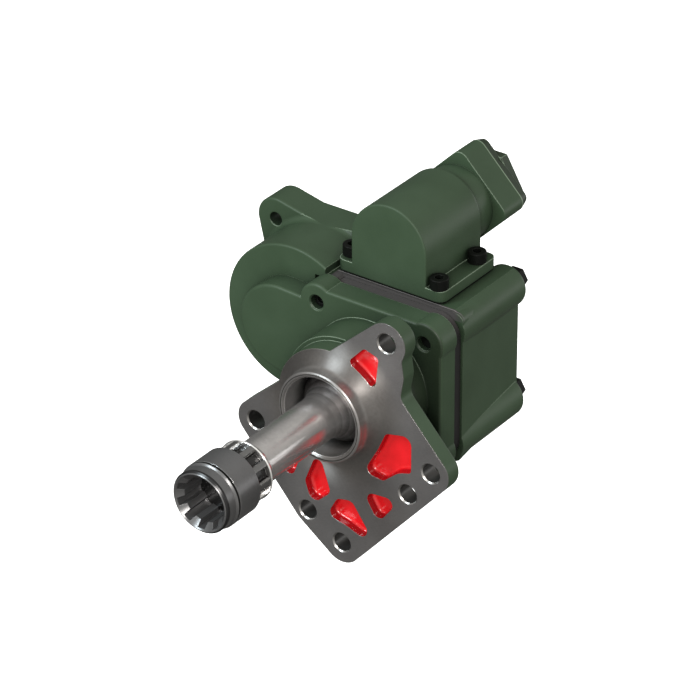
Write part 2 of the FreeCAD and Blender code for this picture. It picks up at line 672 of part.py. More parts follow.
def actuator_bolts():
    left, right = ACT_X - ACT_BOLT_X, ACT_X + ACT_BOLT_X
    places = [(left, ACT_BOLT_LEFT_Y), (left, ACT_BOLT_BACK_Y)]
    return places + [(right, ACT_BOLT_FRONT_Y), (right, ACT_BOLT_BACK_Y)]


def dog_y():
    """Front of the dogs on the input gear."""
    return GEAR_Y + GEAR_WIDTH


def sleeve_y():
    """Front of the dog sleeve's body when out of gear."""
    return dog_y() + DOG_H + DOG_GAP + DOG_H


def fork_y():
    """Front face of the fork when out of gear."""
    return sleeve_y() + (DOG_SLEEVE_T - FORK_GROOVE_T) / 2 + SLIDE


def input_shaft():
    profile = [
        (0, SPLINE_END_Y), (SPLINE_ROOT_R, SPLINE_END_Y), (SPLINE_ROOT_R, SHAFT_RIM_Y - SHAFT_RIM_T),
        (SHAFT_RIM_R - 0.6, SHAFT_RIM_Y - SHAFT_RIM_T), (SHAFT_RIM_R, SHAFT_RIM_Y - SHAFT_RIM_T / 2),
        (SHAFT_RIM_R - 0.8, SHAFT_RIM_Y), (SHAFT_R + 2.6, SHAFT_RIM_Y + 0.8),
        (SHAFT_R + 0.9, SHAFT_RIM_Y + 2.6), (SHAFT_R, SHAFT_RIM_Y + 6.0), (SHAFT_R, -17.0),
        (SHAFT_R + 0.8, -11.0), (SHAFT_R + 2.8, -5.4), (SHAFT_R + 5.8, -0.6), (SHAFT_R + 8.8, 2.6),
        (DISC_R - 0.6, DISC_Y), (DISC_R, DISC_Y + 0.6), (DISC_R, DISC_Y + DISC_T),
        (JOURNAL_R + 2.0, DISC_Y + DISC_T), (JOURNAL_R + 2.0, FRONT_BEARING_Y), (JOURNAL_R, FRONT_BEARING_Y),
        (JOURNAL_R, FRONT_BEARING_Y + BEARING_W + 4), (NEEDLE_IN_R + 3.0, FRONT_BEARING_Y + BEARING_W + 4),
        (NEEDLE_IN_R + 3.0, GEAR_Y - 2.0), (NEEDLE_IN_R, GEAR_Y - 2.0), (NEEDLE_IN_R, dog_y() + 0.2),
        (NEEDLE_IN_R - 1.0, dog_y() + 0.2), (NEEDLE_IN_R - 1.0, dog_y() + 0.2 + CIRCLIP_T),
        (NEEDLE_IN_R, dog_y() + 0.2 + CIRCLIP_T), (NEEDLE_IN_R, dog_y() + DOG_H - 1.0),
        (HUB_SPLINE_ROOT_R, dog_y() + DOG_H - 1.0), (HUB_SPLINE_ROOT_R, REAR_BEARING_Y - 1.0),
        (REAR_JOURNAL_R, REAR_BEARING_Y - 1.0), (REAR_JOURNAL_R, REAR_BEARING_Y + REAR_BEARING_W),
        (0, REAR_BEARING_Y + REAR_BEARING_W),
    ]
    body = turned(profile)
    end_splines = splined(SPLINE_TEETH, SPLINE_ROOT_R - 0.2, SPLINE_R, SPLINE_END_Y, SHAFT_RIM_Y - SHAFT_RIM_T)
    hub_splines = splined(HUB_SPLINE_TEETH, HUB_SPLINE_ROOT_R - 0.2, HUB_SPLINE_R,
                          dog_y() + DOG_H - 1.0, REAR_BEARING_Y - 3.0)
    return fuse([body, end_splines, hub_splines])


def coupling_sleeve():
    """Splined sleeve on the shaft's end, with an internally splined socket for the gearbox shaft."""
    g = SLEEVE_GROOVE_Y
    body = turned([
        (0, SLEEVE_FRONT_Y), (SLEEVE_NOSE_R - 1.6, SLEEVE_FRONT_Y), (SLEEVE_NOSE_R, SLEEVE_FRONT_Y + 1.6),
        (SLEEVE_NOSE_R, g - 2.2), (SLEEVE_R, g - 1.0), (SLEEVE_R - 1.6, g - 1.0), (SLEEVE_R - 1.6, g + 1.0),
        (SLEEVE_R, g + 1.0), (SLEEVE_R, SLEEVE_BACK_Y - 1.0), (SLEEVE_R - 1.0, SLEEVE_BACK_Y),
        (0, SLEEVE_BACK_Y)])
    back = splined(SPLINE_TEETH, SPLINE_ROOT_R + FIT, SPLINE_R + RUN, SPLINE_END_Y, SLEEVE_BACK_Y + 1,
                   share=0.56, taper=0.8)
    front = splined(SOCKET_TEETH, SOCKET_TOOTH_R, SOCKET_R, SLEEVE_FRONT_Y - 1, SPLINE_END_Y,
                    share=0.56, taper=0.95, phase=0.5)
    mouth, inner = SLEEVE_NOSE_R - 1.9, SLEEVE_FRONT_Y + SOCKET_LEAD
    lead_in = turned([(0, SLEEVE_FRONT_Y - 1), (mouth, SLEEVE_FRONT_Y - 1), (mouth, SLEEVE_FRONT_Y),
                      (SOCKET_TOOTH_R, inner), (0, inner)])
    return body.cut(back).cut(front).cut(lead_in)


def snap_ring(r_out, r_in, y0, y1, gap=16.0, x=0.0, z=0.0, angle=-90.0):
    """Open retaining ring."""
    body = ring(r_out, r_in, y0, y1, x, z)
    slot = box(x, x + r_out + 2, y0 - 1, y1 + 1, z - gap / 2 * 0.25, z + gap / 2 * 0.25)
    return body.cut(turned_by(slot, angle, x, z))


def sleeve_ring():
    y = SLEEVE_GROOVE_Y
    return snap_ring(SLEEVE_R - 0.3, SLEEVE_R - 1.6 + FIT, y - 0.9, y + 0.9)


def bearing_circlip():
    y = circlip_y()
    return snap_ring(BEARING_R + 1.8, BEARING_R - 4, y + FIT, y + CIRCLIP_T - FIT)


def gear_circlip():
    y = dog_y() + 0.2
    return snap_ring(DOG_IN_R - 0.6, NEEDLE_IN_R - 1.0 + FIT, y, y + CIRCLIP_T)


def input_gear():
    gear = gear_blank(INPUT_TEETH, GEAR_Y, GEAR_Y + GEAR_WIDTH)
    mesh_angle = math.degrees(CENTRE_ANGLE)
    gear = turned_by(gear, mesh_angle)
    hub = cyl(DOG_OUT_R, GEAR_Y + GEAR_WIDTH - 1, dog_y())
    body = fuse([gear, hub] + face_dogs(dog_y() - 0.5, dog_y() + DOG_H, 0.0))
    bore = cyl(NEEDLE_IN_R + NEEDLE_T, GEAR_Y - 1, dog_y() + 1)
    bore = bore.fuse(cyl(DOG_IN_R, dog_y(), dog_y() + DOG_H + 1))
    recess = ring(DOG_OUT_R - 1.5, NEEDLE_IN_R + NEEDLE_T + 2.5, GEAR_Y - 1, GEAR_Y + 3)
    return body.cut(bore).cut(recess)


def output_gear():
    gear = gear_blank(OUTPUT_TEETH, GEAR_Y + 1, GEAR_Y + GEAR_WIDTH - 1)
    half_tooth = 180.0 / OUTPUT_TEETH
    gear = turned_by(gear, math.degrees(CENTRE_ANGLE) + 180.0 + half_tooth)
    key_slot = box(-3.0 - FIT, 3.0 + FIT, GEAR_Y - 1, GEAR_Y + GEAR_WIDTH, 0, OUT_SEAT_R + 3.0)
    gear = gear.cut(cyl(OUT_SEAT_R + FIT, GEAR_Y - 1, GEAR_Y + GEAR_WIDTH)).cut(key_slot)
    return moved(gear, OUT_X, 0, OUT_Z)


def output_shaft():
    front = OUT_FRONT_BEARING_Y
    front_end = front + OUT_FRONT_BEARING_W
    gear_front, gear_back = GEAR_Y + 1.0, GEAR_Y + GEAR_WIDTH - 1.0
    back = PUMP_Y - PUMP_PILOT_DEPTH
    body = turned([
        (0, front), (OUT_FRONT_JOURNAL_R, front), (OUT_FRONT_JOURNAL_R, front_end),
        (OUT_FRONT_JOURNAL_R + 3, front_end), (OUT_FRONT_JOURNAL_R + 3, gear_front),
        (OUT_SEAT_R, gear_front), (OUT_SEAT_R, gear_back), (OUT_JOURNAL_R + 5, gear_back),
        (OUT_JOURNAL_R + 5, OUT_BEARING_Y), (OUT_JOURNAL_R, OUT_BEARING_Y), (OUT_JOURNAL_R, back), (0, back)])
    socket = splined(SOCKET_OUT_TEETH, SOCKET_OUT_TOOTH_R, SOCKET_OUT_R, back - SOCKET_OUT_DEPTH, back + 1)
    key_seat = box(-3.0, 3.0, GEAR_Y + 3, GEAR_Y + GEAR_WIDTH - 3, OUT_SEAT_R - 3.0, OUT_SEAT_R + 3.0)
    return moved(body.cut(socket).cut(key_seat), OUT_X, 0, OUT_Z)


def output_key():
    x, z = OUT_X, OUT_Z + OUT_SEAT_R
    y0, y1 = GEAR_Y + 3 + FIT, GEAR_Y + GEAR_WIDTH - 3 - FIT
    return box(x - 3.0 + FIT, x + 3.0 - FIT, y0, y1, z - 3.0 + FIT, z + 3.0 - FIT)


def bearing_carrier():
    """Carries the output shaft's rear bearing and the pump's pilot, relieved beside the shift fork."""
    body = cyl(OUT_BORE_R - FIT, CARRIER_Y, PUMP_Y, OUT_X, OUT_Z)
    tools = [
        cyl(OUT_BEARING_R - 4.0, CARRIER_Y - 1, PUMP_Y, OUT_X, OUT_Z),
        cyl(OUT_BEARING_R, OUT_BEARING_Y, PUMP_Y, OUT_X, OUT_Z),
        cyl(OUT_BEARING_R + 1.8, carrier_clip_y(), carrier_clip_y() + CIRCLIP_T, OUT_X, OUT_Z),
        cyl(PUMP_PILOT_R, PUMP_Y - PUMP_PILOT_DEPTH, PUMP_Y + 1, OUT_X, OUT_Z),
        cyl(FORK_ROOM_R, CARRIER_Y - 1, FORK_ROOM_BACK_Y),
    ]
    for tool in tools:
        body = body.cut(tool)
    return body


def carrier_clip_y():
    return PUMP_Y - PUMP_PILOT_DEPTH - CIRCLIP_T


def actuator_body():
    """Casting of the shift actuator: base, arched block and round neck."""
    plate = base_plate(ACT_BASE_Z, ACT_BASE_Z + ACT_BASE_T)
    x0, x1 = ACT_X - ACT_R, ACT_X + ACT_R
    block = box(x0, x1, ACT_FRONT_Y, ACT_BACK_Y, ACT_BASE_Z, ACT_Z)
    arch = cyl(ACT_R, ACT_FRONT_Y, ACT_BACK_Y, ACT_X, ACT_Z).common(
        box(x0, x1, ACT_FRONT_Y, ACT_BACK_Y, ACT_BASE_Z, ACT_Z + ACT_R))
    neck = cyl(ACT_NECK_R, ACT_BACK_Y - 1, CAP_Y, ACT_X, AXIS_Z)
    block = fuse([block, arch])
    rear = [e for e in edges_at(block, ACT_BACK_Y) if e.BoundBox.ZMax > ACT_BASE_Z + 1]
    front = [e for e in edges_at(block, ACT_FRONT_Y) if e.BoundBox.ZMax > ACT_BASE_Z + 1]
    block = block.makeFillet(ACT_REAR_FILLET, rear).makeFillet(ACT_FRONT_FILLET, front)
    body = fuse([plate, block, neck])
    tools = [
        cyl(CYL_R, CYL_Y, CAP_Y + 1, ACT_X, AXIS_Z),
        cyl(CHAMBER_R, CHAMBER_Y, CYL_Y + 1, ACT_X, AXIS_Z),
        cyl(ROD_R + RUN, GUIDE_Y, CYL_Y, ACT_X, AXIS_Z),
        fork_opening(ACT_BASE_Z - 1, AXIS_Z),
    ]
    for tool in tools:
        body = body.cut(tool)
    for x, y in actuator_bolts():
        body = body.cut(Part.makeCylinder(SCREW_R + 0.3, ACT_BASE_T + 2, at(x, y, ACT_BASE_Z - 1)))
    return body


def base_plate(z0, z1, inset=0.0):
    """Flat plate with rounded upright corners."""
    x0, x1 = ACT_BASE_X - ACT_BASE_HALF + inset, ACT_BASE_X + ACT_BASE_HALF - inset
    plate = box(x0, x1, ACT_FRONT_Y + inset, ACT_BASE_Y - inset, z0, z1)
    upright = [e for e in plate.Edges if abs(e.BoundBox.ZMax - e.BoundBox.ZMin) > 0.5 * (z1 - z0)]
    return plate.makeFillet(ACT_CORNER_R, upright)


def actuator_gasket():
    body = base_plate(ACT_SEAT_Z, ACT_BASE_Z, inset=1.2)
    body = body.cut(fork_opening(ACT_SEAT_Z - 1, ACT_BASE_Z + 1))
    for x, y in actuator_bolts():
        body = body.cut(Part.makeCylinder(SCREW_R + 0.3, ACT_GASKET_T + 2, at(x, y, ACT_SEAT_Z - 1)))
    return body


def end_cap():
    """Cap screwed on the neck: square body turned on its corner, hexagon and air port."""
    waist = CAP_BACK_Y - CAP_TAPER_T
    outline = square_circles(CAP_HALF, CAP_CORNER_R)
    rear_outline = square_circles(CAP_HALF - CAP_TAPER, CAP_CORNER_R - CAP_TAPER)
    rim = Part.makeLoft([belt(outline, waist), belt(rear_outline, CAP_BACK_Y)], True)
    square = turned_by(fuse([prism(outline, CAP_Y, waist), rim]), 45.0)
    corners = [polar(HEX_FLATS / math.sqrt(3), math.radians(60 * i), CAP_BACK_Y - 1) for i in range(7)]
    hexagon = Part.Face(Part.makePolygon(corners)).extrude(at(0, HEX_T + 1, 0))
    back = CAP_BACK_Y + HEX_T
    hex_chamfer = turned([(0, CAP_BACK_Y - 2), (HEX_FLATS, CAP_BACK_Y - 2), (HEX_FLATS, back - 3),
                          (HEX_FLATS / 2 + 2.5, back), (0, back)])
    spigot = cyl(CYL_R - FIT, ACT_BACK_Y + 1, CAP_Y + 1)
    body = fuse([square, hexagon.common(hex_chamfer), spigot])
    body = body.cut(cyl(PORT_R - 2, ACT_BACK_Y, back + 1))
    body = body.cut(cyl(PORT_INSERT_R, CAP_BACK_Y - 8, back + 1))
    body = body.cut(ring(CYL_R, CYL_R - 2.5, ACT_BACK_Y + 4, ACT_BACK_Y + 7))
    return moved(body, ACT_X, 0, AXIS_Z)


def port_insert():
    """Threaded steel adapter of the air port, with a grooved collar behind the hexagon."""
    y0, seat = CAP_BACK_Y - 8, CAP_BACK_Y + HEX_T
    y1 = seat + PORT_COLLAR_T
    r, groove = PORT_COLLAR_R, y1 - 1.4 - PORT_GROOVE_T
    body = turned([(0, y0), (PORT_INSERT_R - FIT, y0), (PORT_INSERT_R - FIT, seat), (r - 0.6, seat),
                   (r, seat + 0.6), (r, groove), (r - 1.2, groove), (r - 1.2, groove + PORT_GROOVE_T),
                   (r, groove + PORT_GROOVE_T), (r, y1 - 0.6), (r - 0.6, y1), (0, y1)])
    bore = turned([(0, y0 - 1), (PORT_R, y0 - 1), (PORT_R, y1 - 1.2), (PORT_R + 1.4, y1 + 0.2), (0, y1 + 0.2)])
    return moved(body.cut(bore), ACT_X, 0, AXIS_Z)


def piston():
    body = cyl(CYL_R - RUN, PISTON_Y, PISTON_Y + PISTON_T, ACT_X, AXIS_Z)
    body = body.cut(ring(CYL_R, CYL_R - 2.6, PISTON_Y + 5, PISTON_Y + 8, ACT_X, AXIS_Z))
    return body.cut(cyl(ROD_R - 2 + FIT, PISTON_Y - 1, PISTON_Y + PISTON_T + 1, ACT_X, AXIS_Z))


def shift_rod():
    front = GUIDE_Y + TRAVEL + 0.5
    body = turned([
        (0, front), (ROD_R - 0.8, front), (ROD_R, front + 0.8), (ROD_R, PISTON_Y), (ROD_R - 2, PISTON_Y),
        (ROD_R - 2, PISTON_Y + PISTON_T), (0, PISTON_Y + PISTON_T)], ACT_X, AXIS_Z)
    return body.cut(fork_pin_tool(2.0))


def shift_fork():
    """Fork that sits in the dog sleeve's groove and is pinned to the rod."""
    y0, y1 = fork_y(), fork_y() + FORK_T
    half_ring = ring(FORK_REACH_R, FORK_GROOVE_R + SLIDE, y0, y1)
    reach = FORK_REACH_R + 1
    half_ring = half_ring.cut(box(-reach, reach, y0 - 1, y1 + 1, -reach, -4.0))
    arm = box(ACT_X - 7.0, ACT_X + 7.0, y0, y1, FORK_GROOVE_R + 2.0, AXIS_Z)
    arm = arm.cut(cyl(FORK_GROOVE_R + SLIDE, y0 - 1, y1 + 1))
    hub = cyl(ROD_R + FORK_HUB_WALL, y0, y1, ACT_X, AXIS_Z)
    body = fuse([half_ring, arm, hub]).cut(cyl(ROD_R + FIT, y0 - 1, y1 + 1, ACT_X, AXIS_Z))
    return body.cut(fork_pin_tool(2.0))


def fork_pin_tool(r):
    start = at(ACT_X - ROD_R - 4.5, fork_y() + FORK_T / 2, AXIS_Z)
    return Part.makeCylinder(r, 2 * ROD_R + 9, start, Vector(1, 0, 0))


def dog_sleeve():
    """Sliding sleeve: face dogs at the front, fork groove, splines on the shaft's hub."""
    y0 = sleeve_y()
    y1 = y0 + DOG_SLEEVE_T
    g0 = y0 + (DOG_SLEEVE_T - FORK_GROOVE_T) / 2
    g1 = g0 + FORK_GROOVE_T
    blank = turned([(0, y0), (DOG_OUT_R, y0), (DOG_OUT_R, g0), (FORK_GROOVE_R, g0), (FORK_GROOVE_R, g1),
                    (DOG_OUT_R, g1), (DOG_OUT_R, y1), (0, y1)])
    dogs = face_dogs(y0 - DOG_H, y0 + 0.5, 0.5)
    body = fuse([blank] + dogs)
    socket = splined(HUB_SPLINE_TEETH, HUB_SPLINE_ROOT_R + RUN, HUB_SPLINE_R + RUN, y0 - DOG_H - 1, y1 + 1,
                     share=0.56, taper=0.8)
    clearance = cyl(NEEDLE_IN_R + NEEDLE_T + 1.0, y0 - DOG_H - 1, y0)
    return body.cut(socket).cut(clearance)


def return_spring():
    """Coil spring round the rod, between the chamber's front wall and the fork."""
    y0 = CHAMBER_Y + WIRE_R
    length = fork_y() - TRAVEL - 2 * WIRE_R - CHAMBER_Y - 0.6
    helix = Part.makeHelix(length / 3.0, length, SPRING_R)
    helix.rotate(at(0, 0, 0), Vector(1, 0, 0), -90)
    helix.translate(at(ACT_X, y0, AXIS_Z))
    start = helix.Vertexes[0].Point
    profile = Part.Wire([Part.Circle(start, Vector(0, 0.2, 1), WIRE_R).toShape()])
    return Part.Wire(helix.Edges).makePipeShell([profile], True, True)


def through_bolts():
    """Hexagon flange bolts that clamp the castings, heads at the back."""
    bolts = []
    for x, z in corner_bolts():
        shank = cyl(BOLT_R, JOINT_Y - 12.0, BACK_Y + 1, x, z)
        washer = turned([(0, BACK_Y), (BOLT_FLANGE_R, BACK_Y), (BOLT_FLANGE_R, BACK_Y + 1.4),
                         (BOLT_HEAD_R, BACK_Y + BOLT_FLANGE_T), (0, BACK_Y + BOLT_FLANGE_T)], x, z)
        corners = [at(x, 0, z) + polar(BOLT_HEAD_R, math.radians(60 * i), BACK_Y + 1) for i in range(7)]
        head = Part.Face(Part.makePolygon(corners)).extrude(at(0, BOLT_HEAD_T - 1, 0))
        bolts.append(fuse([shank, washer, head]))
    return Part.makeCompound(bolts)


def ear_screw():
    """Socket head screw sunk in the ear; holds the intermediate plate to the front casting."""
    x, z = EAR_BOLT
    shank = cyl(EAR_SCREW_R, EAR_SEAT_Y - 1, BOX_Y - GASKET_T, x, z)
    head = cyl(EAR_HEAD_R, EAR_SEAT_Y - EAR_HEAD_T, EAR_SEAT_Y, x, z)
    corners = [at(x, 0, z) + polar(2.9, math.radians(60 * i), EAR_SEAT_Y - EAR_HEAD_T - 1) for i in range(7)]
    return fuse([shank, head]).cut(Part.Face(Part.makePolygon(corners)).extrude(at(0, 4, 0)))


def actuator_screws():
    """Socket head screws of the actuator."""
    screws = []
    top = ACT_BASE_Z + ACT_BASE_T
    for x, y in actuator_bolts():
        end = ACT_SEAT_Z - SCREW_GRIP + 1
        shank = Part.makeCylinder(SCREW_R, top - end, at(x, y, end))
        head = Part.makeCylinder(SCREW_HEAD_R, SCREW_HEAD_T, at(x, y, top))
        head = head.makeFillet(0.8, [e for e in head.Edges if e.BoundBox.ZMin > top + 1])
        corners = [at(x + 3.5 * math.cos(math.radians(60 * i)), y + 3.5 * math.sin(math.radians(60 * i)),
                      top + SCREW_HEAD_T - 4) for i in range(7)]
        socket = Part.Face(Part.makePolygon(corners)).extrude(at(0, 0, 5))
        screws.append(fuse([shank, head]).cut(socket))
    return Part.makeCompound(screws)


def dowel_sleeves():
    y0, y1 = JOINT_Y - DOWEL_SEAT + 0.3, BOX_Y + DOWEL_SEAT - 0.3
    return Part.makeCompound([ring(DOWEL_R - FIT, BOLT_CLEAR_R, y0, y1, x, z) for x, z in dowels()])


def oil_seal():
    y1 = SEAL_Y + SEAL_T
    lip = JOURNAL_R + 2.0 + RUN
    return turned([(SEAL_R - FIT, SEAL_Y), (SEAL_R - FIT, y1), (SEAL_R - 3, y1), (SEAL_R - 3, SEAL_Y + 2.5),
                   (lip + 1.5, SEAL_Y + 2.5), (lip, y1 - 2), (lip, SEAL_Y + 1.0), (lip + 1.0, SEAL_Y)])


def build():
    nodes = {
        "mounting_housing": mounting_housing(),
        "intermediate_plate": intermediate_plate(),
        "front_gasket": joint_ring(JOINT_Y, JOINT_Y + GASKET_T, PLATE_INSET + 0.4),
        "rear_gasket": joint_ring(BOX_Y - GASKET_T, BOX_Y, PLATE_INSET + 0.4),
        "gear_housing": gear_housing(),
        "through_bolts": through_bolts(),
        "dowel_sleeves": dowel_sleeves(),
        "oil_seal": oil_seal(),
        "input_shaft": input_shaft(),
        "coupling_sleeve": coupling_sleeve(),
        "sleeve_ring": sleeve_ring(),
        "bearing_circlip": bearing_circlip(),
        "input_gear": input_gear(),
        "needle_bearing": ring(NEEDLE_IN_R + NEEDLE_T - FIT, NEEDLE_IN_R + RUN, GEAR_Y + 0.5, dog_y() - 0.5),
        "thrust_washer": ring(NEEDLE_IN_R + 5.0, NEEDLE_IN_R + RUN, GEAR_Y - 2.0, GEAR_Y - 0.05),
        "gear_circlip": gear_circlip(),
        "dog_sleeve": dog_sleeve(),
        "output_gear": output_gear(),
        "output_shaft": output_shaft(),
        "output_key": output_key(),
        "bearing_carrier": bearing_carrier(),
        "carrier_circlip": snap_ring(OUT_BEARING_R + 1.6, OUT_BEARING_R - 4.0, carrier_clip_y(),
                                     carrier_clip_y() + CIRCLIP_T, x=OUT_X, z=OUT_Z),
        "ear_screw": ear_screw(),
        "actuator_body": actuator_body(),
        "actuator_gasket": actuator_gasket(),
        "actuator_screws": actuator_screws(),
        "end_cap": end_cap(),
        "port_insert": port_insert(),
        "cap_seal": ring(CYL_R - FIT, CYL_R - 2.4, ACT_BACK_Y + 4 + FIT, ACT_BACK_Y + 7 - FIT, ACT_X, AXIS_Z),
        "piston": piston(),
        "piston_seal": ring(CYL_R - RUN, CYL_R - 2.5, PISTON_Y + 5 + FIT, PISTON_Y + 8 - FIT, ACT_X, AXIS_Z),
        "shift_rod": shift_rod(),
        "shift_fork": shift_fork(),
        "fork_pin": fork_pin_tool(2.0 - FIT),
        "return_spring": return_spring(),
    }
    bearings = {
        "front_bearing": ball_bearing(JOURNAL_R, BEARING_R, BEARING_W, FRONT_BEARING_Y),
        "rear_bearing": ball_bearing(REAR_JOURNAL_R, REAR_BEARING_R, REAR_BEARING_W, REAR_BEARING_Y),
        "output_front_bearing": ball_bearing(OUT_FRONT_JOURNAL_R, OUT_FRONT_BEARING_R, OUT_FRONT_BEARING_W,
                                             OUT_FRONT_BEARING_Y, OUT_X, OUT_Z),
        "output_rear_bearing": ball_bearing(OUT_JOURNAL_R, OUT_BEARING_R, OUT_BEARING_W, OUT_BEARING_Y,
                                            OUT_X, OUT_Z),
    }
    for name, (outer, balls, inner) in bearings.items():
        nodes[name + "_outer_race"] = outer
        nodes[name + "_balls"] = balls
        nodes[name + "_inner_race"] = inner
    return nodes


os.makedirs("parts", exist_ok=True)
for node, shape in build().items():
    shape.exportStep("parts/" + node + ".step")
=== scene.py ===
import math
import bpy
from mathutils import Matrix, Vector


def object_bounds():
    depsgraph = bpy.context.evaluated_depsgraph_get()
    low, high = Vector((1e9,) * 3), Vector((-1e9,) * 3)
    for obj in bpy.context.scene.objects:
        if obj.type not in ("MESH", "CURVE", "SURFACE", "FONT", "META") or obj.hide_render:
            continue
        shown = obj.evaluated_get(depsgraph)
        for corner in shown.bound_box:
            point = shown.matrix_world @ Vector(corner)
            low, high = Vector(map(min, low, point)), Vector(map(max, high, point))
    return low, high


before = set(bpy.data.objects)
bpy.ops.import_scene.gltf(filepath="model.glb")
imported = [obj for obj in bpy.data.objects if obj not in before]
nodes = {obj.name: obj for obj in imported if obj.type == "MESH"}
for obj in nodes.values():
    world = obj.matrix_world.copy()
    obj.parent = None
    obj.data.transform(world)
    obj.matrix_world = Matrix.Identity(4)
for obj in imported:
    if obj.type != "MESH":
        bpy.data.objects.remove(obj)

cad_low, cad_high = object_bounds()

# Places on the part, in metres. A radius is measured from the input shaft's axis, and a y value
# along it from the mounting face. Two values are the ends of a stretch.
HOLES = [(0.0445, 0.0648), (0.0803, -0.0222), (0.0619, -0.0449), (0.0076, -0.1033),
         (-0.0208, -0.0874), (-0.0639, -0.0313)]    # x and z of the flange's holes
HOLE_REACH = 0.0081         # just past a hole's chamfer
HOLE_WALL_Y = 0.0008
HOLE_LIP_Y = (0.00005, 0.0010)
FLANGE_BACK_Y = 0.0134
FACE_SKIN_Y = 0.00045       # the machined face ends this far back
POCKETS = [(0.027, 0.043, 0.0155), (0.048, -0.019, 0.027), (-0.013, -0.060, 0.0185),
           (0.0135, -0.080, 0.0195), (0.0395, -0.062, 0.0135), (-0.039, -0.044, 0.0215)]  # x, z and reach
POCKET_Y = (0.00018, 0.0078)
HUB_R = 0.0405              # inside it the front casting is all machined
FLARE_R = (0.046, 0.062)    # here the turned flare fades into the flat face
COLLAR_R = (0.0338, 0.0345)     # here the flare's finish fades into the collar's
STEP_R = (0.0313, 0.0318)   # dark step inside the collar's rim
STEP_Y = -0.0138
BORE_R = 0.0295             # inside it the collar's bore is painted paler, as painted light
FLANGE_SHADOW_Y = (0.030, 0.045)   # painted shadow of the flange on the box front, beside the neck
FLANGE_SHADOW_LEFT_X = (0.030, 0.044)
FLANGE_SHADOW_RIGHT_X = (0.060, 0.063)
STRIP_Z = 0.052             # strip on top of the rear casting, beside the joint
STRIP_LEFT_X = -0.047
STRIP_RIGHT_X = (0.0505, 0.0585)
# painted highlight line on the strip
STRIP_HIGHLIGHT_Y = (0.0720, 0.0727)
STRIP_BACK_Y = 0.0735
CAP_HIGHLIGHT_Y = (0.1771, 0.1779)   # painted highlight along the rear edge of the cap
SPLINES_Y = (-0.1215, -0.0957)  # the shaft's splines that show behind the sleeve
SPLINES_R = (0.0192, 0.0208)    # between their roots and crests
SHOULDER_Y = -0.0935        # back of the shoulder behind them
SEAL_RIM_Y = (-0.002, 0.014)    # the shaft's blackened rim at the seal
SEAL_RIM_R = 0.0252
NOSE_Y = (-0.1438, -0.1412)     # chamfer at the sleeve's nose
NOSE_R = 0.0205
SOCKET_R = 0.0200

# Radii that edges are rounded to, in metres
STEEL_EDGE = 0.0006
PAINT_EDGE = 0.0011
POCKET_EDGE = 0.0016
BLACK_EDGE = 0.0005


